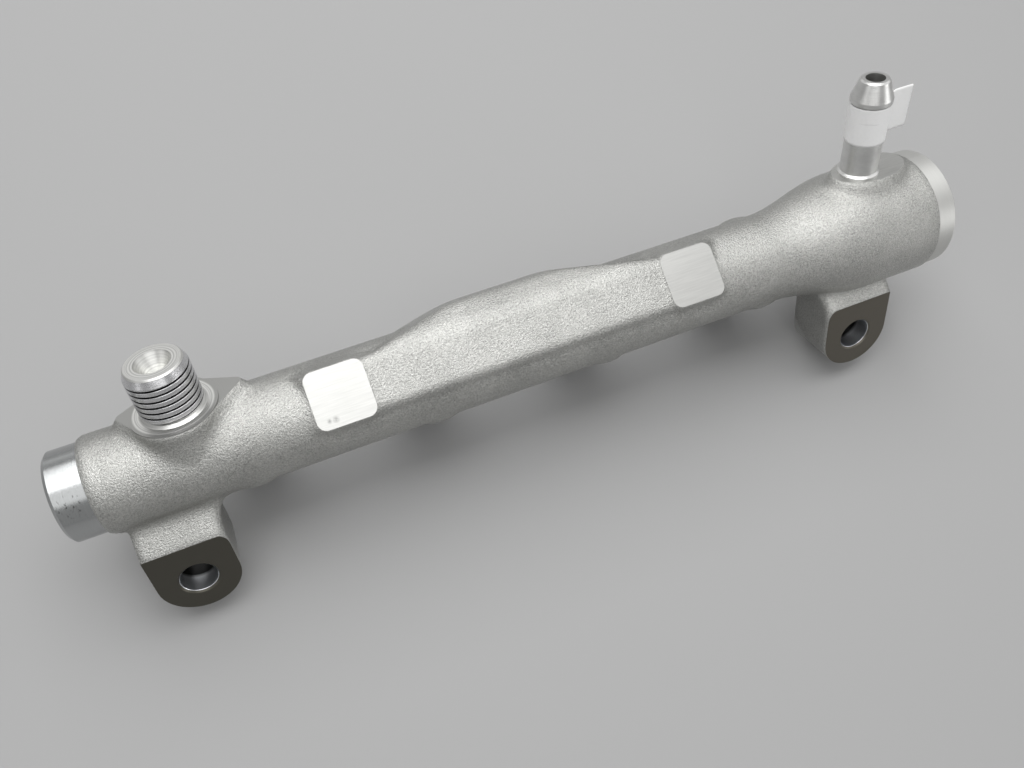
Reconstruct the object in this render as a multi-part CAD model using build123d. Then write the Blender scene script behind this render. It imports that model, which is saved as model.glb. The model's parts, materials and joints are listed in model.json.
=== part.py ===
from build123d import *
import math
import os

# Common-rail fuel rail: a forged steel body with machined ports, a pressed-in return nipple
# and a paper tag. Built with the main bore on X and the inlet stub on +Z, then turned about X
# onto the surface it lies on. Millimetres. An inset is a distance from the valve end.

# rail
rail_length = 225.3
rail_radius = 11.5
rail_end_radius = 11.1
rail_end_taper = 1.0
main_bore_radius = 4.75
root_depth = 0.1

# sensor end, left
sensor_ring_radius = 10.5
sensor_ring_length = 7.6
sensor_port_radius = 6.0
sensor_port_depth = 14.0
end_chamfer = 0.8

# valve end, right
valve_boss_radius = 15.9
valve_ring_radius = 15.4
valve_ring_length = 5.9
flare_start_inset = 49.3
flare_end_inset = 23.3
valve_port_radius = 9.0
valve_port_depth = 24.0

# high-pressure stubs for M14 x 1.5, drawn as plain shanks without the thread ridges
stub_radius = 6.35
stub_foot_radius = 7.4
stub_foot_length = 0.7
stub_edge_chamfer = 0.35
cone_mouth_radius = 4.0
cone_half_angle = 30.0
passage_radius = 1.5
land_radius = 9.6
land_rise = 0.3

# inlet boss and stub, straight up: a round boss drawn out to a tip on each side
inlet_x = 29.5
inlet_face = 13.6
inlet_tip = 26.4
inlet_boss_radius = 9.2
inlet_boss_left = 12.3
inlet_boss_right = 14.8
inlet_boss_side = 2.4
inlet_boss_nose = 1.2
inlet_boss_draft = 1.2
inlet_boss_ramp = 8.0
inlet_boss_root = 4.0
inlet_boss_blend = 3.0

# injector outlets on the hidden side, opposite the milled pads
outlet_count = 4
outlet_first_x = 40.5
outlet_last_inset = 52.8
outlet_face = 17.5
outlet_tip = 31.5
outlet_boss_top_radius = 9.9
outlet_boss_root_radius = 12.2
outlet_boss_dome = 8.0

# milled pads and the strip between them
pad_angle = 46.6
pad_height = 12.0
pad_length = 13.7
pad_width = 13.4
pad_shift = 0.7
pad_corner = 2.2
pad_left_x = 63.5
pad_right_inset = 73.6
strip_height = 11.6
strip_width = 12.4
strip_edge = 1.8
strip_blend = 1.5
strip_ramp = 4.0
forging_draft = 1.8
draft_depth = 5.0

# hump on the upper back
hump_shift = -0.6
hump_angle = -32.0
hump_height = 14.4
hump_top_length = 26.0
hump_top_width = 9.0
hump_draft = 5.5
hump_depth = 9.4
hump_ramp_left = 28.0
hump_ramp_right = 34.0
hump_ramp_drop = 7.0
hump_front = 8.0
hump_edge = 5.0
hump_crest = 40.0
hump_blend = 5.0

# bolt lugs
lug_left_x = 20.2
lug_right_inset = 25.3
lug_drop = 25.3
lug_radius = 9.5
lug_front = -13.1
lug_thickness = 14.1
lug_shelf = -14.7
shelf_top_y = -7.4
shelf_top_z = -7.9
shelf_blend = 3.0
lug_flare = 7.0
lug_corner = 2.2
lug_outer_blend = 1.0
lug_run = 0.4
lug_rear_blend = 2.0
lug_root_step = 3.6
lug_hole_radius = 4.3
lug_hole_chamfer = 0.5

# return nipple and its boss
nipple_inset = 22.1
nipple_lean = 3.4
nipple_face = 17.8
nipple_boss_length = 20.0
nipple_boss_width = 12.0
nipple_boss_shift = 3.0
nipple_boss_draft = 5.0
nipple_boss_root = 8.0
nipple_boss_blend = 3.0
nipple_hole_clearance = 0.1
nipple_hole_radius = 4.0
nipple_spigot_length = 5.0
nipple_collar_radius = 5.1
nipple_collar_length = 0.9
nipple_neck_radius = 4.55
nipple_length = 24.6
barb_length = 5.6
barb_radius = 5.0
barb_land = 1.0
nipple_rim_radius = 3.1
nipple_rim_round = 0.4
nipple_bore_radius = 2.3

# paper tag
tag_gap = 0.05
tag_thickness = 0.35
tag_height = 9.6
tag_barb_gap = 0.3
flag_length = 8.9

# where the parts lie
outlet_angle = pad_angle + 180
outlet_pitch = (rail_length - outlet_first_x - outlet_last_inset) / (outlet_count - 1)
pad_right_x = rail_length - pad_right_inset
hump_x = (pad_left_x + pad_right_x) / 2 + hump_shift
lug_back = lug_front + lug_thickness
lug_right_x = rail_length - lug_right_inset
nipple_x = rail_length - nipple_inset
flare_start = rail_length - flare_start_inset
flare_end = rail_length - flare_end_inset
core_radius = rail_radius - root_depth


def spoke(x, angle):
    # plane at the bore axis whose normal leans from +Z towards -Y
    a = math.radians(angle)
    return Plane(origin=(x, 0, 0), x_dir=(1, 0, 0), z_dir=(0, -math.sin(a), math.cos(a)))


def turned(points):
    # solid of revolution about local Z from (radius, height) points
    face = Plane.XZ * make_face(Polyline(*points, close=True))
    return revolve(face, Axis.Z)


def stub(face_height, tip):
    foot = face_height + land_rise
    return turned([
        (0, 0),
        (stub_foot_radius, 0),
        (stub_foot_radius, foot),
        (stub_radius, foot + stub_foot_length),
        (stub_radius, tip - stub_edge_chamfer),
        (stub_radius - stub_edge_chamfer, tip),
        (0, tip),
    ])


def stub_hole(tip):
    depth = (cone_mouth_radius - passage_radius) / math.tan(math.radians(cone_half_angle))
    return turned([
        (0, 0),
        (passage_radius, 0),
        (passage_radius, tip - depth),
        (cone_mouth_radius, tip),
        (0, tip),
    ])


def eye(grow, ramp):
    # round outline drawn out to a blunt nose on each side
    nose = inlet_boss_nose + grow
    rounds = [Circle(inlet_boss_radius + grow)]
    for reach in (-inlet_boss_left - ramp + nose, inlet_boss_right + ramp - nose):
        rounds.append(Pos(reach, inlet_boss_side) * Circle(nose))
    return make_hull([edge for item in rounds for edge in item.edges()])


def oval(grow):
    return Ellipse(nipple_boss_length / 2 + grow, nipple_boss_width / 2 + grow)


def across(angle, side, height):
    # point of a YZ section, measured from the bore axis beside and along a spoke
    a = math.radians(angle)
    return (side * math.cos(a) - height * math.sin(a), side * math.sin(a) + height * math.cos(a))


def rib(corners, radii, angle, side_view):
    # forged rib on the rail: its section seen along X, cut to its outline seen square to a spoke.
    # Each corner with a radius is rounded; one that lies in the rail rounds the rib's foot beside it
    section = Circle(core_radius) + make_face(Polyline(*corners, close=True))
    feet_first = sorted(zip(corners, radii), key=lambda item: math.hypot(*item[0]) > core_radius)
    for point, radius in feet_first:
        if radius > 0:
            section = fillet(section.vertices().sort_by_distance(point)[0], radius)
    box = side_view.bounding_box()
    body = extrude(Plane.YZ.offset(box.min.X) * section, box.size.X)
    up = spoke(0, angle)
    cutter = Plane(up.origin, x_dir=(1, 0, 0), z_dir=-up.y_dir) * side_view
    return body & extrude(cutter, 2 * rail_radius, both=True)


def ramped(start, end, ramp_left, ramp_right, low, high):
    # side view of a rib with a slope at each end
    return make_face(Polyline(
        (start - ramp_left, 0),
        (start - ramp_left, low),
        (start, high),
        (end, high),
        (end + ramp_right, low),
        (end + ramp_right, 0),
        close=True,
    ))


def lug(x, inner, core):
    # hanging lug: its outline with the flares seen along Y, and its sloped shelf seen along X
    foot = -lug_drop - 2 * lug_radius
    plate = make_face(Polyline(
        (lug_front, foot),
        (lug_front, lug_shelf),
        (shelf_top_y, shelf_top_z),
        (lug_back, 0),
        (lug_back, foot),
        close=True,
    ))
    section = Circle(core) + plate
    section = fillet(section.vertices().sort_by_distance((shelf_top_y, shelf_top_z))[0], shelf_blend)
    section = fillet(section.vertices().sort_by_distance((lug_back, -core))[0], lug_rear_blend)
    inner_end = x + inner * (lug_radius + lug_flare + lug_run)
    outer_end = x - inner * (lug_radius + lug_outer_blend + lug_run)
    left, width = min(inner_end, outer_end), abs(inner_end - outer_end)
    outline = Pos(x, -lug_drop) * Circle(lug_radius)
    outline += Pos(x, -lug_drop) * Rectangle(2 * lug_radius, lug_drop, align=(Align.CENTER, Align.MIN))
    outline += Pos(left, shelf_top_z) * Rectangle(width, -shelf_top_z, align=(Align.MIN, Align.MIN))
    for side, radius in ((inner, lug_flare), (-inner, lug_outer_blend)):
        outline = fillet(outline.vertices().sort_by_distance((x + side * lug_radius, shelf_top_z))[0], radius)
    block = extrude(Plane.XZ * outline, 2 * core, both=True)
    block &= extrude(Plane.YZ.offset(left) * section, width)
    shelf_edges = block.edges().filter_by(GeomType.ELLIPSE)
    return fillet(shelf_edges.sort_by_distance((x + inner * lug_radius, lug_front, lug_shelf))[0], lug_corner)


def blended(base, piece, radius):
    joined = base + piece
    return fillet(new_edges(base, piece, combined=joined), radius)


# forged rail, turned at both ends
ring_end = rail_length - valve_ring_length
outline = Polyline(
    (flare_start, rail_radius),
    (sensor_ring_length + rail_end_taper, rail_radius),
    (sensor_ring_length, rail_end_radius),
    (sensor_ring_length, sensor_ring_radius),
    (end_chamfer, sensor_ring_radius),
    (0, sensor_ring_radius - end_chamfer),
    (0, 0),
    (rail_length, 0),
    (rail_length, valve_ring_radius - end_chamfer),
    (rail_length - end_chamfer, valve_ring_radius),
    (ring_end, valve_ring_radius),
    (ring_end, valve_boss_radius),
    (flare_end, valve_boss_radius),
)
flare = Spline(
    (flare_end, valve_boss_radius),
    (flare_start, rail_radius),
    tangents=((-1, 0), (-1, 0)),
)
body = revolve(Plane.XZ * make_face(outline.edges() + flare.edges()), Axis.X)

# bosses of the inlet and the nipple
inlet_plane = spoke(inlet_x, 0)
inlet_boss = loft([
    inlet_plane.offset(inlet_boss_root) * eye(inlet_boss_draft, inlet_boss_ramp),
    inlet_plane.offset(inlet_face) * eye(0, 0),
])
body = blended(body, inlet_boss, inlet_boss_blend)
nipple_plane = spoke(nipple_x, nipple_lean)
boss_plane = spoke(nipple_x + nipple_boss_shift, nipple_lean)
nipple_boss = loft([
    boss_plane.offset(nipple_boss_root) * oval(nipple_boss_draft),
    boss_plane.offset(nipple_face) * oval(0),
])
body = blended(body, nipple_boss, nipple_boss_blend)

# lugs
body += lug(lug_left_x, 1, core_radius)
body += lug(lug_right_x, -1, valve_boss_radius - lug_root_step)

# strip, hump and pads
strip_low = strip_height - draft_depth
strip_foot = strip_width / 2 + forging_draft
strip_corners = [
    across(pad_angle, pad_shift - strip_foot, strip_low),
    across(pad_angle, pad_shift - strip_width / 2, strip_height),
    across(pad_angle, pad_shift + strip_width / 2, strip_height),
    across(pad_angle, pad_shift + strip_foot, strip_low),
]
strip_side = ramped(
    pad_left_x - pad_length / 2,
    pad_right_x + pad_length / 2,
    strip_ramp,
    strip_ramp,
    strip_low,
    pad_height,
)
strip_radii = [strip_blend, strip_edge, strip_edge, strip_blend]
body += rib(strip_corners, strip_radii, pad_angle, strip_side)
hump_corners = [
    (0, 0),
    across(pad_angle, pad_shift, strip_height),
    strip_corners[2],
    across(hump_angle, -hump_top_width / 2, hump_height),
    across(hump_angle, hump_top_width / 2, hump_height),
    across(hump_angle, hump_top_width / 2 + hump_draft, hump_height - hump_depth),
]
hump_side = ramped(
    hump_x - hump_top_length / 2,
    hump_x + hump_top_length / 2,
    hump_ramp_left,
    hump_ramp_right,
    hump_height - hump_ramp_drop,
    hump_height,
)
hump_side = fillet(hump_side.vertices().sort_by(Axis.Y)[-2:], hump_crest)
hump_radii = [0, 0, hump_front, hump_edge, hump_edge, hump_blend]
body += rib(hump_corners, hump_radii, hump_angle, hump_side)
for pad_x in (pad_left_x, pad_right_x):
    plane = spoke(pad_x, pad_angle)
    wide = RectangleRounded(
        pad_length + 2 * forging_draft, pad_width + 2 * forging_draft, pad_corner + forging_draft
    )
    body += loft([
        plane.offset(pad_height - draft_depth) * Pos(0, pad_shift) * wide,
        plane.offset(pad_height) * Pos(0, pad_shift) * RectangleRounded(pad_length, pad_width, pad_corner),
    ])

# injector outlets
outlet_planes = [spoke(outlet_first_x + i * outlet_pitch, outlet_angle) for i in range(outlet_count)]
boss_side = Polyline(
    (outlet_boss_root_radius, 0),
    (outlet_boss_top_radius, outlet_face),
    (0, outlet_face),
    (0, -outlet_boss_dome),
)
boss_dome = EllipticalCenterArc((0, 0), outlet_boss_root_radius, outlet_boss_dome, 270, arc_size=90)
outlet_boss = revolve(Plane.XZ * make_face(boss_side.edges() + boss_dome.edges()), Axis.Z)
for plane in outlet_planes:
    body += plane * outlet_boss

# turned lands and stubs
stub_seats = [(inlet_plane, inlet_face, inlet_tip)]
stub_seats += [(plane, outlet_face, outlet_tip) for plane in outlet_planes]
for plane, face_height, tip in stub_seats:
    land_top = face_height + land_rise
    body += plane * Pos(0, 0, land_top / 2) * Cylinder(land_radius, land_top)
    body += plane * stub(face_height, tip)

# bores, drillings and ports
along = Plane.YZ
body -= extrude(along * Circle(main_bore_radius), rail_length)
body -= extrude(along * Circle(sensor_port_radius), sensor_port_depth)
body -= extrude(along.offset(rail_length - valve_port_depth) * Circle(valve_port_radius), valve_port_depth)
for plane, face_height, tip in stub_seats:
    body -= plane * stub_hole(tip)
body -= nipple_plane * Pos(0, 0, nipple_face / 2) * Cylinder(nipple_hole_radius, nipple_face)
for x in (lug_left_x, lug_right_x):
    hole_plane = Plane(origin=(x, lug_front, -lug_drop), x_dir=(1, 0, 0), z_dir=(0, 1, 0))
    body -= hole_plane * turned([
        (0, 0),
        (lug_hole_radius + lug_hole_chamfer, 0),
        (lug_hole_radius, lug_hole_chamfer),
        (lug_hole_radius, lug_thickness - lug_hole_chamfer),
        (lug_hole_radius + lug_hole_chamfer, lug_thickness),
        (0, lug_thickness),
    ])

# return nipple
barb_bottom = nipple_length - barb_length
spigot_radius = nipple_hole_radius - nipple_hole_clearance
nipple = nipple_plane * Pos(0, 0, nipple_face) * turned([
    (nipple_bore_radius, -nipple_spigot_length),
    (spigot_radius, -nipple_spigot_length),
    (spigot_radius, 0),
    (nipple_collar_radius, 0),
    (nipple_collar_radius, nipple_collar_length / 2),
    (nipple_neck_radius, nipple_collar_length),
    (nipple_neck_radius, barb_bottom),
    (barb_radius, barb_bottom),
    (barb_radius, barb_bottom + barb_land),
    (nipple_rim_radius + nipple_rim_round, nipple_length - nipple_rim_round),
    (nipple_rim_radius, nipple_length),
    (nipple_bore_radius, nipple_length),
])

# paper tag: sleeve and flag
sleeve_inner = nipple_neck_radius + tag_gap
sleeve_outer = sleeve_inner + tag_thickness
tag_bottom = nipple_face + barb_bottom - tag_barb_gap - tag_height
flag = Pos(sleeve_inner, 0) * Rectangle(flag_length, tag_thickness, align=(Align.MIN, Align.CENTER))
tag_outline = Circle(sleeve_outer) + flag - Circle(sleeve_inner)
tag = extrude(nipple_plane.offset(tag_bottom) * tag_outline, tag_height)

# turn about X until the lugs' rear edge and the outlet tips lie level, then stand on z = 0
tilt_a = math.radians(pad_angle)
tip_edge = stub_radius - stub_edge_chamfer
rear_y = outlet_tip * math.sin(tilt_a) - tip_edge * math.cos(tilt_a)
rear_z = -outlet_tip * math.cos(tilt_a) - tip_edge * math.sin(tilt_a)
rest_tilt = math.degrees(math.atan2(rear_z + lug_drop + lug_radius, rear_y - lug_back))
turn = Rot(X=-rest_tilt)
pieces = {"rail_body": turn * body, "return_nipple": turn * nipple, "paper_tag": turn * tag}
boxes = [piece.bounding_box() for piece in pieces.values()]
low = [min(tuple(b.min)[i] for b in boxes) for i in range(3)]
high = [max(tuple(b.max)[i] for b in boxes) for i in range(3)]
shift = Pos(-(low[0] + high[0]) / 2, -(low[1] + high[1]) / 2, -low[2])

os.makedirs("parts", exist_ok=True)
for name, piece in pieces.items():
    placed = shift * piece
    export_step(placed, f"parts/{name}.step")
    print(name, round(placed.volume, 1), "solids", len(placed.solids()))
print("rest tilt", round(rest_tilt, 3), "shift", [round(v, 3) for v in tuple(shift.position)])
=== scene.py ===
import json
import math

import bpy
import numpy as np
from mathutils import Matrix, Vector


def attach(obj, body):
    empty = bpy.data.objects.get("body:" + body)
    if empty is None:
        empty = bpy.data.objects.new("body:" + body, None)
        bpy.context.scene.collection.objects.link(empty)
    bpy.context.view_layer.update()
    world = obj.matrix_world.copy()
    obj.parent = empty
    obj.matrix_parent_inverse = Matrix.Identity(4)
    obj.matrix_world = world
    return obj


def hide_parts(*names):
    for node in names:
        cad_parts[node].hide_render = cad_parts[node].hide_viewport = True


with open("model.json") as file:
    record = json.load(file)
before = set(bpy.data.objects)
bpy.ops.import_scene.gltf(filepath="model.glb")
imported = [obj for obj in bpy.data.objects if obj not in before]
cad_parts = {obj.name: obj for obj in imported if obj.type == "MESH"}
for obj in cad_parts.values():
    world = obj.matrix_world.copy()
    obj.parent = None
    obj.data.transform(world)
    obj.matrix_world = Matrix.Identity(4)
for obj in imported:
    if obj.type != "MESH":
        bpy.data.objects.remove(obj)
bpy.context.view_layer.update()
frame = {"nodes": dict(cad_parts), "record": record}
mounts = {m["name"]: m for m in frame["record"]["mounts"]}
mm = 0.001

# The rail's own axes, read from the mounts: along the bore and along the inlet stub.
boreCentre = Vector(mounts["sensor_port"]["pos_m"])
alongBore = Vector(mounts["valve_port"]["axis"])
alongInlet = Vector(mounts["inlet"]["axis"])
restTilt = math.atan2(alongInlet.y, alongInlet.z)

railSizes = {
    "leftEnd": -112.65,         # row x of the sensor end
    "sensorRing": 7.6,          # turned length at the left end
    "valveRing": 219.4,         # where the turned ring at the right end starts
    "padAngle": 46.6,
    "padHeight": 12.0,
    "padCentres": (63.5, 151.7),
    "padHalf": 7.3,
    "padShift": 0.7,
    "lugHalf": 13.0,
    "lugFace": -13.1,
    "lugBack": 1.0,
    "lugTop": -14.0,
    "lugHoles": (20.2, 200.0),
    "lugDrop": 25.3,
    "lugBore": 4.36,
    "inletX": 29.5,
    "inletFace": 13.6,
    "inletReach": 16.0,
    "inletReflectionRadius": 9.0,           # radius round the inlet stub inside which the flat is painted pale and beyond which it is painted darker, a painted reflection
    "outletFace": 17.5,
    "nippleStart": 180.0,
    "nippleX": 203.2,
    "nippleFace": 17.8,
    "nippleLean": 3.4,
}

# How sharply the finish of a machined face ends, in millimetres.
faceEdges = {
    "side": 0.1,
    "flat": (0.08, 0.02),     # below a milled flat
    "pad": (0.12, 0.05),      # below a pad
    "lug": (0.07, 0.03),      # half depth of a lug face and its soft edge
    "hole": 0.04,             # outside the bolt hole's wall
    "rim": (0.7, 0.6),
    "rimDepth": 0.6,
    "ring": 0.03,
    "spot": 0.2,
}


# Node helpers: each adds one node and hands back its output socket.

def addNode(tree, kind, **settings):
    node = tree.nodes.new(kind)
    for key, value in settings.items():
        setattr(node, key, value)
    return node


def feed(tree, socket, value):
    if isinstance(value, bpy.types.NodeSocket):
        tree.links.new(value, socket)
    else:
        socket.default_value = value


def calc(tree, operation, first, second=0.0, third=0.0):
    node = addNode(tree, "ShaderNodeMath", operation=operation)
    for socket, value in zip(node.inputs, (first, second, third)):
        feed(tree, socket, value)
    return node.outputs[0]


def between(tree, value, low, high, lowOut=0.0, highOut=1.0):
    node = addNode(tree, "ShaderNodeMapRange", clamp=True)
    for socket, item in zip(node.inputs, (value, low, high, lowOut, highOut)):
        feed(tree, socket, item)
    return node.outputs[0]


def mixColours(tree, factor, first, second):
    node = addNode(tree, "ShaderNodeMix", data_type="RGBA")
    feed(tree, node.inputs[0], factor)
    feed(tree, node.inputs[6], first)
    feed(tree, node.inputs[7], second)
    return node.outputs[2]


def mixValues(tree, factor, first, second):
    node = addNode(tree, "ShaderNodeMix", data_type="FLOAT")
    feed(tree, node.inputs[0], factor)
    feed(tree, node.inputs[2], first)
    feed(tree, node.inputs[3], second)
    return node.outputs[0]


def noise(tree, vector, scale, detail=2.0, roughness=0.5):
    node = addNode(tree, "ShaderNodeTexNoise")
    feed(tree, node.inputs["Vector"], vector)
    feed(tree, node.inputs["Scale"], scale)
    feed(tree, node.inputs["Detail"], detail)
    feed(tree, node.inputs["Roughness"], roughness)
    return node.outputs[0]


def stretched(tree, vector, scale):
    node = addNode(tree, "ShaderNodeMapping")
    feed(tree, node.inputs["Vector"], vector)
    node.inputs["Scale"].default_value = scale
    return node.outputs[0]


def weighted(tree, *pairs):
    total = calc(tree, "MULTIPLY", *pairs[0])
    for value, weight in pairs[1:]:
        total = calc(tree, "MULTIPLY_ADD", value, weight, total)
    return total


# A grey of the steel: red and green alike, blue held back a little.
def grey(level, warmth=0.0):
    return (level, level, level * (1 - warmth), 1.0)


def newMaterial(name, metallic, specular=0.5):
    material = bpy.data.materials.new(name)
    material.use_nodes = True
    tree = material.node_tree
    shader = tree.nodes["Principled BSDF"]
    shader.inputs["Metallic"].default_value = metallic
    shader.inputs["Specular IOR Level"].default_value = specular
    return material, tree, shader


# Object coordinates turned back into the rail's own frame, in millimetres.
def ownFrame(tree):
    coordinates = addNode(tree, "ShaderNodeTexCoord").outputs["Object"]
    node = addNode(tree, "ShaderNodeMapping")
    feed(tree, node.inputs["Vector"], coordinates)
    turn = Matrix.Rotation(restTilt, 3, "X")
    start = Vector((railSizes["leftEnd"] * mm, boreCentre.y, boreCentre.z))
    node.inputs["Scale"].default_value = (1 / mm, 1 / mm, 1 / mm)
    node.inputs["Rotation"].default_value = (restTilt, 0, 0)
    node.inputs["Location"].default_value = turn @ start * (-1 / mm)
    split = addNode(tree, "ShaderNodeSeparateXYZ")
    feed(tree, split.inputs[0], node.outputs[0])
    return node.outputs[0], split.outputs[0], split.outputs[1], split.outputs[2]


def distance(tree, first, second):
    squares = calc(tree, "MULTIPLY_ADD", first, first, calc(tree, "MULTIPLY", second, second))
    return calc(tree, "SQRT", squares)


def offset(tree, value, centre):
    return calc(tree, "SUBTRACT", value, centre)


def near(tree, value, centre, half, soft=faceEdges["side"]):
    away = calc(tree, "ABSOLUTE", offset(tree, value, centre))
    return between(tree, away, half - soft, half, 1.0, 0.0)


def both(tree, *masks):
    total = masks[0]
    for mask in masks[1:]:
        total = calc(tree, "MULTIPLY", total, mask)
    return total


# Height along a direction that leans from the inlet's towards the front.
def leaning(tree, y, z, degrees):
    a = math.radians(degrees)
    return weighted(tree, (y, -math.sin(a)), (z, math.cos(a)))


def either(tree, *masks):
    total = masks[0]
    for mask in masks[1:]:
        total = calc(tree, "MAXIMUM", total, mask)
    return total


def bumped(tree, shader, height, depth, normal=None):
    node = addNode(tree, "ShaderNodeBump")
    node.inputs["Distance"].default_value = depth
    feed(tree, node.inputs["Height"], height)
    if normal is not None:
        feed(tree, node.inputs["Normal"], normal)
    feed(tree, shader.inputs["Normal"], node.outputs[0])


forged = {
    "pale": grey(0.66, 0.04),
    "dark": grey(0.25, 0.04),
    "pit": grey(0.12, 0.05),
    "roughness": 0.33,
    "roughSpread": 0.16,
    "grainSize": 2.4,         # noise cells per millimetre
    "grainDetail": (3.0, 0.62),
    "grainDepth": 0.00020,
    "fineSize": 2.1,          # times the grain's
    "fineDetail": (2.0, 0.6),
    "fineHeight": 0.55,       # of the grain's
    "slowSize": 0.09,
    "slowDetail": (3.0, 0.5),
    "toneShares": (0.6, 0.5, 0.2),    # grain, fine, slow
    "toneRange": (0.43, 0.87),
    "pitRange": (0.38, 0.27),
    "crease": 0.0030,
    "creaseSamples": 12,
}

milled = {
    "pale": grey(0.60, 0.03),
    "dark": grey(0.53, 0.03),
    "roughness": 0.39,
    # inlet flat: a painted reflection, pale near the stub and darker farther out
    "inletPaintedReflection": grey(0.78, 0.03),
    "inletPaintedReflectionDark": grey(0.40, 0.03),
    # left and right lug faces and hole rims, painted dark as a painted reflection of dark
    # surroundings, the left darker than the right
    "lugFacePaintedReflections": ((0.096, 0.091, 0.077, 1.0), (0.145, 0.134, 0.113, 1.0)),
    "lugRoughness": 0.40,
    # bolt hole wall: a bright bluish painted reflection at its mouth, near-black painted shade
    # deeper in
    "holeMouthPaintedReflection": (0.84, 0.86, 0.89, 1.0),
    "holeRoughness": 0.32,
    "holeDeepPaintedShade": grey(0.03),
    "holeReach": (4.4, 5.4),  # depths over which the bolt hole's wall turns from painted reflection to painted shade
    "lineHeight": 0.04,       # of the grain's depth
    "lineStretch": (0.15, 3.0, 3.0),
    "lineDetail": (2.0, 0.6),
    "lineRange": (0.3, 0.7),
    "spotLines": 3.2,         # rings per millimetre on the spot face
}

rings = {
    "polished": (0.47, 0.48, 0.48, 1.0),
    "polishedDark": (0.37, 0.38, 0.38, 1.0),
    "polishedRoughness": 0.22,
    "satin": grey(0.64, 0.03),
    "satinDark": grey(0.54, 0.03),
    "satinRoughness": 0.48,
    "lineStretch": (14.0, 0.08, 0.08),
    "lineDetail": (2.0, 0.5),
}

# Small dark marks of handling on the sensor end's ring and the left pad.
marks = {
    "colour": grey(0.05),
    "ringX": (3.6, 3.0, 1.5),     # middle, half width and soft edge of the smeared band
    "ringZ": (4.4, 3.0, 2.0),
    "ringFront": (0.0, -2.0),
    "ringNoise": (0.56, 0.64),
    "smearStretch": (1.5, 0.5, 0.8),
    "smearDetail": (3.0, 0.6),
    "onPad": ((59.4, -4.1, 0.7), (60.9, -4.2, 0.95)),     # x, side, radius
    "padShare": 0.55,
    "padCore": 0.1,               # share of the radius that is darkest
    "ragged": (0.25, 0.55),
}


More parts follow.
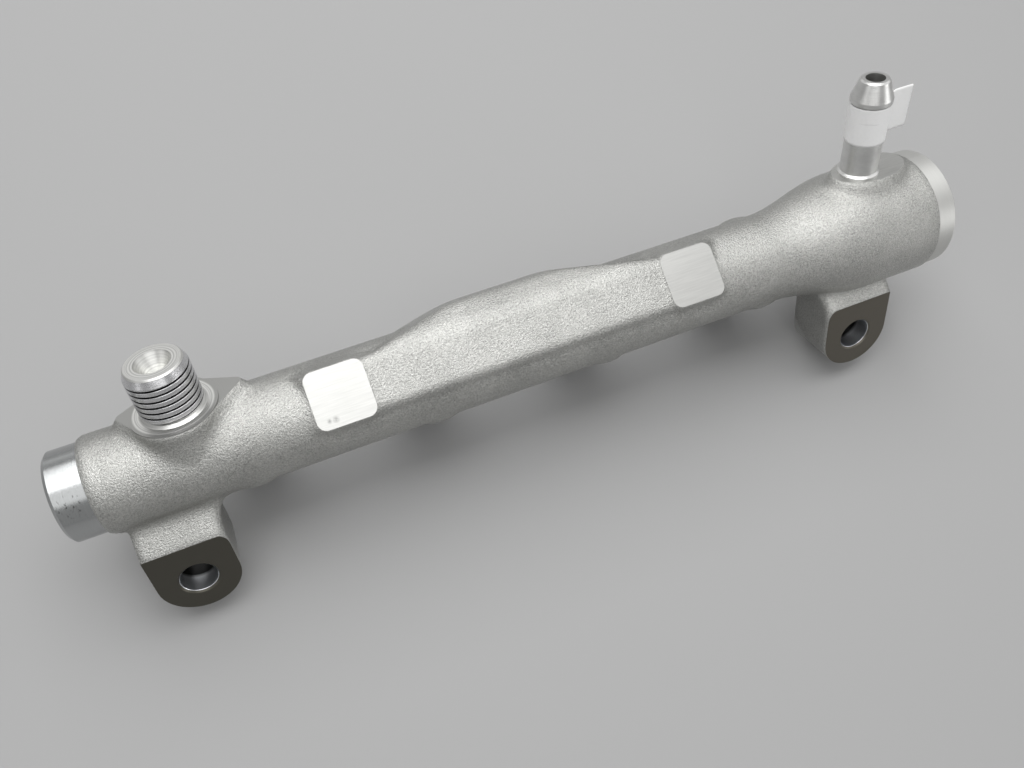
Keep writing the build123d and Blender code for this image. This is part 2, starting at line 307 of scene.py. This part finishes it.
# Forged skin with milled and turned faces, told apart by where they lie on the rail.
def forgedSteel():
    material, tree, shader = newMaterial("forgedSteel", 1.0)
    place, x, y, z = ownFrame(tree)
    s = railSizes
    e = faceEdges
    a = math.radians(s["padAngle"])
    padUp = leaning(tree, y, z, s["padAngle"])
    padSide = weighted(tree, (y, math.cos(a)), (z, math.sin(a)))

    padReach = either(tree, *[near(tree, x, c, s["padHalf"]) for c in s["padCentres"]])
    padTop = between(tree, padUp, *(s["padHeight"] - edge for edge in e["pad"]))
    pad = both(tree, padReach, padTop, near(tree, padSide, s["padShift"], s["padHalf"]))

    lugReach = either(tree, *[near(tree, x, c, s["lugHalf"]) for c in s["lugHoles"]])
    below = both(tree, lugReach, between(tree, z, s["lugTop"], s["lugTop"] - e["side"]))
    lugFront = both(tree, below, near(tree, y, s["lugFace"], *e["lug"]))
    lugRear = both(tree, below, near(tree, y, s["lugBack"], *e["lug"]))
    lugHeight = calc(tree, "ADD", z, s["lugDrop"])
    holeAway = [distance(tree, offset(tree, x, c), lugHeight) for c in s["lugHoles"]]
    wall = s["lugBore"]
    lugHole = either(tree, *[between(tree, away, wall + e["hole"], wall) for away in holeAway])
    rimOut, rimIn = (wall + edge for edge in e["rim"])
    rims = either(tree, *[between(tree, away, rimOut, rimIn) for away in holeAway])
    lugRim = both(tree, near(tree, y, s["lugFace"], e["rimDepth"]), rims)

    inletRadius = distance(tree, offset(tree, x, s["inletX"]), y)
    inletFlat = both(
        tree,
        between(tree, z, *(s["inletFace"] - edge for edge in e["flat"])),
        between(tree, inletRadius, s["inletReach"], s["inletReach"] - e["side"]),
    )
    outletFlat = between(tree, padUp, *(edge - s["outletFace"] for edge in e["flat"]))
    nippleUp = leaning(tree, y, z, s["nippleLean"])
    nippleFlat = both(
        tree,
        between(tree, x, s["nippleStart"], s["nippleStart"] + e["side"]),
        between(tree, nippleUp, *(s["nippleFace"] - edge for edge in e["flat"])),
    )
    leftRing = between(tree, x, s["sensorRing"] + e["ring"], s["sensorRing"] - e["ring"])
    rightRing = between(tree, x, s["valveRing"] - e["ring"], s["valveRing"] + e["ring"])
    bothRings = either(tree, leftRing, rightRing)
    machined = either(
        tree, pad, inletFlat, outletFlat, nippleFlat, bothRings, lugFront, lugRear, lugRim, lugHole
    )

    # grain of the blasted skin: bumps of two sizes, dark pits and a slow change of tone
    f = forged
    grain = noise(tree, place, f["grainSize"], *f["grainDetail"])
    fine = noise(tree, place, f["grainSize"] * f["fineSize"], *f["fineDetail"])
    slow = noise(tree, place, f["slowSize"], *f["slowDetail"])
    mottle = weighted(tree, *zip((grain, fine, slow), f["toneShares"]))
    skin = mixColours(tree, between(tree, mottle, *f["toneRange"]), f["dark"], f["pale"])
    skin = mixColours(tree, between(tree, fine, *f["pitRange"]), skin, f["pit"])

    # milling lines along the flats, rings on the inlet's spot face, turning lines round the ends
    lines = noise(tree, stretched(tree, place, milled["lineStretch"]), 1.0, *milled["lineDetail"])
    swirl = noise(tree, stretched(tree, place, rings["lineStretch"]), 1.0, *rings["lineDetail"])
    spot = addNode(tree, "ShaderNodeTexNoise", noise_dimensions="1D")
    feed(tree, spot.inputs["W"], inletRadius)
    spot.inputs["Scale"].default_value = milled["spotLines"]
    lines = mixValues(tree, inletFlat, lines, spot.outputs[0])
    # the inlet flat is painted paler than the other milled faces, a painted reflection
    pale = mixColours(tree, inletFlat, milled["pale"], milled["inletPaintedReflection"])
    bright = mixColours(tree, between(tree, lines, *milled["lineRange"]), milled["dark"], pale)
    # lug faces and hole rims painted dark as a painted reflection, darker at the left lug than at
    # the right
    atRight = between(tree, x, *s["lugHoles"])
    lugFace = mixColours(tree, atRight, *milled["lugFacePaintedReflections"])
    bright = mixColours(tree, either(tree, lugFront, lugRim), bright, lugFace)
    # beyond the ring round the inlet stub the flat is painted darker, part of the same painted
    # reflection
    spotEdge = between(tree, inletRadius, s["inletReflectionRadius"] - e["spot"], s["inletReflectionRadius"])
    inletDarkReflectionBand = both(tree, inletFlat, spotEdge)
    bright = mixColours(tree, inletDarkReflectionBand, bright, milled["inletPaintedReflectionDark"])
    # the bolt hole's wall is painted: painted reflection near the mouth, painted shade deeper in
    shallow, deep = (s["lugFace"] + reach for reach in milled["holeReach"])
    depth = between(tree, y, shallow, deep)
    boreReflectionAndShade = mixColours(tree, depth, milled["holeMouthPaintedReflection"], milled["holeDeepPaintedShade"])
    bright = mixColours(tree, lugHole, bright, boreReflectionAndShade)
    polished = mixColours(tree, swirl, rings["polishedDark"], rings["polished"])
    bright = mixColours(tree, leftRing, bright, polished)
    satin = mixColours(tree, swirl, rings["satinDark"], rings["satin"])
    bright = mixColours(tree, rightRing, bright, satin)
    smearPlace = stretched(tree, place, marks["smearStretch"])
    smear = noise(tree, smearPlace, 1.0, *marks["smearDetail"])
    onRing = both(
        tree,
        near(tree, x, *marks["ringX"]),
        near(tree, z, *marks["ringZ"]),
        between(tree, y, *marks["ringFront"]),
        between(tree, smear, *marks["ringNoise"]),
    )
    specks = []
    for across, side, radius in marks["onPad"]:
        away = distance(tree, offset(tree, x, across), offset(tree, padSide, side))
        specks.append(between(tree, away, radius, radius * marks["padCore"]))
    onPad = both(tree, between(tree, grain, *marks["ragged"]), either(tree, *specks))
    smudge = either(tree, both(tree, leftRing, onRing), both(tree, pad, onPad, marks["padShare"]))
    bright = mixColours(tree, smudge, bright, marks["colour"])
    feed(tree, shader.inputs["Base Color"], mixColours(tree, machined, skin, bright))

    smoothest = f["roughness"] - f["roughSpread"] / 2
    skinRough = calc(tree, "MULTIPLY_ADD", grain, f["roughSpread"], smoothest)
    brightRough = mixValues(tree, lugFront, milled["roughness"], milled["lugRoughness"])
    brightRough = mixValues(tree, lugHole, brightRough, milled["holeRoughness"])
    brightRough = mixValues(tree, leftRing, brightRough, rings["polishedRoughness"])
    brightRough = mixValues(tree, rightRing, brightRough, rings["satinRoughness"])
    feed(tree, shader.inputs["Roughness"], mixValues(tree, machined, skinRough, brightRough))

    # creases of the skin are rounded, machined edges stay sharp
    softEdge = addNode(tree, "ShaderNodeBevel", samples=f["creaseSamples"])
    softEdge.inputs["Radius"].default_value = f["crease"]
    geometry = addNode(tree, "ShaderNodeNewGeometry")
    edgeNormal = addNode(tree, "ShaderNodeMix", data_type="VECTOR")
    feed(tree, edgeNormal.inputs[0], machined)
    feed(tree, edgeNormal.inputs[4], softEdge.outputs[0])
    feed(tree, edgeNormal.inputs[5], geometry.outputs["Normal"])
    skinHeight = weighted(tree, (grain, 1.0), (fine, f["fineHeight"]))
    cutLines = mixValues(tree, bothRings, lines, swirl)
    flatHeight = calc(tree, "MULTIPLY", cutLines, milled["lineHeight"])
    height = mixValues(tree, machined, skinHeight, flatHeight)
    bumped(tree, shader, height, f["grainDepth"], edgeNormal.outputs[1])
    return material


turned = {
    "pale": grey(0.74, 0.02),
    "dark": grey(0.62, 0.02),
    "roughness": 0.32,
    "roughSpread": (-0.06, 0.08),
    "lineStretch": (0.3, 0.3, 7.0),
    "lineDetail": (2.0, 0.6),
    "lineRange": (0.2, 0.8),
    "lineDepth": 0.00003,
    "slowSize": 0.35,
    "toneShares": (0.5, 1.0),     # lines, slow
    "toneRange": (0.5, 1.0),
}


# Turned steel: fine lines round the work and a slow change of tone.
def turnedSteel():
    material, tree, shader = newMaterial("satinTurned", 1.0)
    place = ownFrame(tree)[0]
    t = turned
    lines = noise(tree, stretched(tree, place, t["lineStretch"]), 1.0, *t["lineDetail"])
    slow = noise(tree, place, t["slowSize"])
    tone = between(tree, weighted(tree, *zip((lines, slow), t["toneShares"])), *t["toneRange"])
    feed(tree, shader.inputs["Base Color"], mixColours(tree, tone, t["dark"], t["pale"]))
    spread = (t["roughness"] + step for step in t["roughSpread"])
    feed(tree, shader.inputs["Roughness"], between(tree, lines, *t["lineRange"], *spread))
    bumped(tree, shader, lines, t["lineDepth"])
    return material


threadFinish = {
    "crest": (0.66, 0.66, 0.67, 1.0),
    # grooves painted near black as painted shade
    "groove": grey(0.02),
    "crestRoughness": 0.24,
    "grooveRoughness": 0.5,
    "gritSize": 2.0,
    "gritDetail": (3.0, 0.6),
    "gritShare": 0.25,
    "gritDepth": 0.00003,
    "crestRange": (0.86, 1.12),
}


# Cut thread: bright crests and grooves painted near black as painted shade, told apart by the
# ridge attribute of the mesh.
def cutThread():
    material, tree, shader = newMaterial("cutThread", 1.0)
    place = ownFrame(tree)[0]
    t = threadFinish
    ridge = addNode(tree, "ShaderNodeAttribute", attribute_name="ridge").outputs["Fac"]
    grit = noise(tree, place, t["gritSize"], *t["gritDetail"])
    height = weighted(tree, (ridge, 1.0), (grit, t["gritShare"]))
    crest = between(tree, height, *t["crestRange"])
    feed(tree, shader.inputs["Base Color"], mixColours(tree, crest, t["groove"], t["crest"]))
    rough = mixValues(tree, crest, t["grooveRoughness"], t["crestRoughness"])
    feed(tree, shader.inputs["Roughness"], rough)
    bumped(tree, shader, grit, t["gritDepth"])
    return material


paper = {
    "colour": grey(0.93),
    "shade": grey(0.87, 0.01),
    # a fold line painted darker as painted shade
    "foldShade": grey(0.62),
    "foldShare": 0.5,
    "foldHeight": 32.8,       # along the nipple, from the bore axis
    "foldHalf": (0.16, 0.12), # half width and soft edge
    "foldX": -2.4,            # from the nipple's axis
    "foldReach": (2.0, 0.9),
    "foldFront": (0.0, -3.0),
    "waver": 0.5,
    "waverSize": 0.4,
    "roughness": 0.7,
    "fibreSize": 1.6,
    "fibreDetail": (4.0, 0.6),
    "fibreDepth": 0.00003,
}


# White paper: faint fibres, and one soft line across the front painted darker as the shade of a
# fold.
def paperWhite():
    material, tree, shader = newMaterial("paperWhite", 0.0)
    place, x, y, z = ownFrame(tree)
    p = paper
    height = leaning(tree, y, z, railSizes["nippleLean"])
    fibres = noise(tree, place, p["fibreSize"], *p["fibreDetail"])
    waver = calc(tree, "MULTIPLY_ADD", noise(tree, place, p["waverSize"]), p["waver"], height)
    across = near(tree, x, railSizes["nippleX"] + p["foldX"], *p["foldReach"])
    front = both(tree, between(tree, y, *p["foldFront"]), across)
    # the fold line: a band painted darker as painted shade
    foldShade = both(tree, near(tree, waver, p["foldHeight"] + p["waver"] / 2, *p["foldHalf"]), front)
    sheet = mixColours(tree, fibres, p["shade"], p["colour"])
    crease = calc(tree, "MULTIPLY", foldShade, p["foldShare"])
    feed(tree, shader.inputs["Base Color"], mixColours(tree, crease, sheet, p["foldShade"]))
    shader.inputs["Roughness"].default_value = p["roughness"]
    bumped(tree, shader, fibres, p["fibreDepth"])
    return material


# A grid of points (rows, columns, 3) becomes one mesh object at the origin, with its columns
# closed into a ring if asked.
def gridPiece(name, points, closed, material, ridge=None):
    rows, columns = points.shape[:2]
    index = np.arange(rows * columns).reshape(rows, columns)
    ahead = np.roll(index, -1, axis=1) if closed else index[:, 1:]
    here = index if closed else index[:, :-1]
    quads = np.stack([here[:-1], ahead[:-1], ahead[1:], here[1:]], axis=-1).reshape(-1, 4)
    mesh = bpy.data.meshes.new(name)
    mesh.vertices.add(rows * columns)
    mesh.vertices.foreach_set("co", np.ascontiguousarray(points, dtype=np.float32).ravel())
    mesh.loops.add(quads.size)
    mesh.loops.foreach_set("vertex_index", quads.astype(np.int32).ravel())
    mesh.polygons.add(len(quads))
    mesh.polygons.foreach_set("loop_start", np.arange(0, quads.size, 4, dtype=np.int32))
    mesh.polygons.foreach_set("use_smooth", np.ones(len(quads), dtype=bool))
    mesh.update(calc_edges=True)
    mesh.validate()
    if ridge is not None:
        attribute = mesh.attributes.new("ridge", "FLOAT", "POINT")
        attribute.data.foreach_set("value", np.ascontiguousarray(ridge, dtype=np.float32).ravel())
    mesh.materials.append(material)
    piece = bpy.data.objects.new(name, mesh)
    bpy.context.scene.collection.objects.link(piece)
    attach(piece, "root")
    return piece


# Points in a local frame (metres, axis on Z) moved to a point and axis of the rail.
def placed(points, centre, axis):
    axis = axis.normalized()
    nearlyAlong = 0.9
    side = alongBore if abs(axis.dot(alongBore)) < nearlyAlong else alongInlet
    side = (side - axis * side.dot(axis)).normalized()
    turn = np.array([side, axis.cross(side), axis])
    return points @ turn + np.array(centre)


thread = {
    "root": 6.30,
    "crest": 7.0,
    "pitch": 1.5,
    "leadLength": 1.6,        # bevelled band above the first groove
    "leadShare": 0.85,        # share of that band without a groove
    "cutLength": 0.25,        # length over which the first groove deepens
    "footLength": 0.5,
    "crestShare": 0.48,       # share of the pitch that is crest
    "flankStart": 0.55,
    "wallGap": 0.02,          # between a port's wall and its thread
    "turnSteps": 120,
    "pitchSteps": 22,
}

portThreads = {
    # mount: radius at the ridges, distance of the first ridge from the end
    "sensor_port": (5.2, 1.6),
    "valve_port": (8.2, 2.0),
}


# Three times the square less twice the cube: a level start and end between 0 and 1.
def eased(share):
    return share * share * (3 - 2 * share)


# Ridge height from 0 to 1 on a grid of heights and turns: a rounded trapezoid wave of the
# height less the turn's share of the pitch.
def ridgeWave(height, angle, spec):
    phase = (height / spec["pitch"] - angle / (2 * np.pi)) % 1.0
    flank = 0.5 * (1 - spec["crestShare"])
    slope = (np.abs(phase - 0.5) * 2 - flank * spec["flankStart"]) / flank
    return eased(np.clip(slope, 0, 1))


def threadGrid(length, spec):
    rows = int(length / spec["pitch"] * spec["pitchSteps"])
    height = np.linspace(0, length, rows)[:, None]
    angle = np.linspace(0, 2 * np.pi, spec["turnSteps"], endpoint=False)[None, :]
    return height, angle


# Radius, turn and height become points round the local Z axis, in metres.
def aroundAxis(radius, angle, height):
    points = [radius * np.cos(angle), radius * np.sin(angle), height + 0 * angle]
    return np.stack(points, axis=-1) * mm


# Where a mount's length begins, and which way it runs.
def mountStart(mount):
    axis = Vector(mount["axis"])
    return Vector(mount["pos_m"]) - axis * (mount["dims"]["length_mm"] * mm / 2), axis


# Stub thread: the ridges stand on the shank, inside a bevel at the tip and a run-out at the foot.
def stubThread(name, mount, material):
    length = mount["dims"]["length_mm"]
    height, angle = threadGrid(length, thread)
    ridge = ridgeWave(height, angle, thread)
    lead = np.clip((length - height) / thread["leadLength"], 0, 1)
    uncut = thread["leadLength"] * thread["leadShare"]
    cut = np.clip((length - height - uncut) / thread["cutLength"], 0, 1)
    foot = np.clip(height / thread["footLength"], 0, 1)
    full = 1 - cut * (1 - ridge)
    radius = thread["root"] + (thread["crest"] - thread["root"]) * np.minimum(lead, foot) * full
    points = placed(aroundAxis(radius, angle, height), *mountStart(mount))
    bright = np.maximum(full, 1 - foot)
    return gridPiece(name, points, True, material, bright)


# Port thread: the same wave drawn inwards from the hole's wall, turned the other way so that it
# faces the axis.
def portThread(name, mount, crest, first, material):
    wall = mount["dims"]["r_mm"] - thread["wallGap"]
    length = mount["dims"]["length_mm"] - first
    height, angle = threadGrid(length, thread)
    angle = -angle
    ridge = ridgeWave(height, angle, thread)
    ends = np.clip(np.minimum(height, length - height) / thread["footLength"], 0, 1)
    radius = wall - (wall - crest) * ridge * ends
    points = placed(aroundAxis(radius, angle, height), *mountStart(mount))
    return gridPiece(name, points, True, material, ridge * ends)


tagSheet = {
    "sleeve": 4.78,           # radius of the sheet round the nipple
    "flagEnd": 11.5,
    "flagRise": 0.3,          # how much higher the free end stands
    "flagTall": 1.1,          # how far the flag's top edge stands above the sleeve's
    "flagStep": 1.6,          # length over which it does
    "stepStart": 0.5,         # clear of the sleeve
    "leafStart": 0.3,
    "flagGap": 0.066,         # half the distance between the two leaves of the flag
    "flagBow": 0.35,          # how far the flag's free end bends towards the front
    "bowLow": 0.5,            # share of that at the lower edge
    "bottom": 26.9,           # along the nipple, from the bore axis
    "top": 36.5,
    "thickness": 0.00013,
    "leafSteps": 24,
    "sleeveSteps": 96,
    "rows": 20,
}


# Paper tag: one strip that runs in along a leaf of the flag, round the nipple and out along the
# other leaf. The flag's bend grows with the square of the distance from the sleeve.
def paperTag(material):
    t = tagSheet
    start = math.asin(t["flagGap"] / t["sleeve"])
    turn = np.linspace(start, 2 * np.pi - start, t["sleeveSteps"])
    leaf = np.linspace(t["flagEnd"], t["sleeve"] + t["leafStart"], t["leafSteps"])
    alongX = np.concatenate([leaf, t["sleeve"] * np.cos(turn), leaf[::-1]])
    gap = np.full(t["leafSteps"], t["flagGap"])
    alongY = np.concatenate([gap, t["sleeve"] * np.sin(turn), -gap])
    free = np.clip((alongX - t["sleeve"]) / (t["flagEnd"] - t["sleeve"]), 0, 1)
    height = np.linspace(t["bottom"], t["top"], t["rows"])[:, None]
    lift = (height - t["bottom"]) / (t["top"] - t["bottom"])
    clear = np.clip((alongX - t["sleeve"] - t["stepStart"]) / t["flagStep"], 0, 1)
    rise = t["flagRise"] * free + t["flagTall"] * eased(clear) * lift
    bow = -t["flagBow"] * free ** 2 * (t["bowLow"] + (1 - t["bowLow"]) * lift)
    points = np.stack([alongX + 0 * height, alongY + bow, height + rise], axis=-1) * mm
    axis = Vector(mounts["return_barb"]["axis"])
    barb = Vector(mounts["return_barb"]["pos_m"])
    centre = barb - axis * (barb - boreCentre).dot(axis)
    piece = gridPiece("paperTag", placed(points, centre, axis), False, material)
    solid = piece.modifiers.new("sheetThickness", "SOLIDIFY")
    solid.thickness = t["thickness"]
    solid.offset = 0.0
    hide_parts("paper_tag")
    return piece


skinMaterial = forgedSteel()
nippleMaterial = turnedSteel()
threadMaterial = cutThread()
paperMaterial = paperWhite()
finishes = {"rail_body": skinMaterial, "return_nipple": nippleMaterial, "paper_tag": paperMaterial}
for node, material in finishes.items():
    slots = frame["nodes"][node].data.materials
    slots.clear()
    slots.append(material)
print("materials on the solids")

stubThread("inletThread", mounts["inlet"], threadMaterial)
for number in range(1, 5):
    stubThread(f"outletThread{number}", mounts[f"outlet_{number}"], threadMaterial)
for mountName, (crest, first) in portThreads.items():
    pieceName = mountName.split("_")[0] + "PortThread"
    portThread(pieceName, mounts[mountName], crest, first, threadMaterial)
print("threads on the stubs and in the ports")

paperTag(paperMaterial)
print("paper tag round the nipple")


studio = {
    "floor": grey(0.38),
    "floorRoughness": 0.9,
    "floorSpecular": 0.2,
    "floorHalf": 1.2,
    "floorFade": (0.30, 0.62),
    "world": 0.25,            # what lights the object
    "backdrop": 0.38,         # what the camera and the bright metal see
    "lamps": (
        # name, place, aim, width, depth, watts
        ("keyPanel", (-0.07, -0.14, 0.38), (-0.02, 0.0, 0.03), 0.38, 0.38, 0.46),
        ("overheadPanel", (0.0, 0.50, 0.85), (0.0, 0.50, 0.0), 0.80, 1.15, 9.0),
        ("rightPanel", (0.95, 0.15, 0.75), (0.05, 0.0, 0.03), 1.00, 1.20, 2.6),
        ("backPanel", (0.1, 1.30, 0.32), (0.0, 0.0, 0.05), 1.60, 0.50, 1.2),
        ("frontPanel", (0.75, -0.55, 0.22), (0.09, 0.0, 0.03), 0.40, 0.40, 1.1),
        ("sidePanel", (-0.9, -0.1, 0.45), (0.0, 0.0, 0.03), 0.50, 0.50, 0.6),
    ),
}


# Pale floor that fades into the backdrop all round and is clear from below.
def makeFloor():
    half = studio["floorHalf"]
    mesh = bpy.data.meshes.new("studioFloor")
    corners = [(-half, -half, 0), (half, -half, 0), (half, half, 0), (-half, half, 0)]
    mesh.from_pydata(corners, [], [(0, 1, 2, 3)])
    floor = bpy.data.objects.new("studioFloor", mesh)
    bpy.context.scene.collection.objects.link(floor)
    material, tree, shader = newMaterial("floorPaint", 0.0, studio["floorSpecular"])
    shader.inputs["Base Color"].default_value = studio["floor"]
    shader.inputs["Roughness"].default_value = studio["floorRoughness"]
    coordinates = addNode(tree, "ShaderNodeTexCoord").outputs["Object"]
    reach = addNode(tree, "ShaderNodeVectorMath", operation="LENGTH")
    feed(tree, reach.inputs[0], coordinates)
    fade = between(tree, reach.outputs["Value"], *studio["floorFade"], 1.0, 0.0)
    below = addNode(tree, "ShaderNodeNewGeometry").outputs["Backfacing"]
    feed(tree, shader.inputs["Alpha"], both(tree, fade, calc(tree, "SUBTRACT", 1.0, below)))
    mesh.materials.append(material)


def makeLamps():
    for name, place, aim, width, depth, watts in studio["lamps"]:
        data = bpy.data.lights.new(name, "AREA")
        data.shape = "RECTANGLE"
        data.size = width
        data.size_y = depth
        data.energy = watts
        lamp = bpy.data.objects.new(name, data)
        lamp.location = place
        direction = Vector(aim) - Vector(place)
        lamp.rotation_mode = "QUATERNION"
        lamp.rotation_quaternion = direction.to_track_quat("-Z", "Y")
        bpy.context.scene.collection.objects.link(lamp)
    world = bpy.data.worlds.new("studioWorld")
    world.use_nodes = True
    tree = world.node_tree
    background = tree.nodes["Background"]
    background.inputs["Color"].default_value = (1, 1, 1, 1)
    rays = addNode(tree, "ShaderNodeLightPath").outputs
    shown = ("Is Camera Ray", "Is Glossy Ray", "Is Transmission Ray")
    seen = either(tree, *(rays[kind] for kind in shown))
    strength = mixValues(tree, seen, studio["world"], studio["backdrop"])
    feed(tree, background.inputs["Strength"], strength)
    bpy.context.scene.world = world


photoCamera = {
    "place": (-55.65, -84.5, 225.1),     # millimetres
    "azimuth": -30.2,
    "elevation": 64.92,
    "roll": 8.38,
    "focal": 896.8,                      # pixels, in an image this wide
    "imageWidth": 1024,
    "sensor": 36.0,
    "nearest": 0.01,                     # metres
}


def makeCamera():
    c = photoCamera
    data = bpy.data.cameras.new("photoCamera")
    data.sensor_fit = "HORIZONTAL"
    data.sensor_width = c["sensor"]
    data.lens = c["focal"] / c["imageWidth"] * c["sensor"]
    data.clip_start = c["nearest"]
    camera = bpy.data.objects.new("photoCamera", data)
    turn = (
        Matrix.Rotation(math.radians(c["azimuth"]), 4, "Z")
        @ Matrix.Rotation(math.radians(90 - c["elevation"]), 4, "X")
        @ Matrix.Rotation(math.radians(c["roll"]), 4, "Z")
    )
    camera.matrix_world = Matrix.Translation(Vector(c["place"]) * mm) @ turn
    bpy.context.scene.collection.objects.link(camera)
    bpy.context.scene.camera = camera


makeFloor()
makeLamps()
makeCamera()
bpy.context.scene.view_settings.view_transform = "Standard"
print("studio ready")
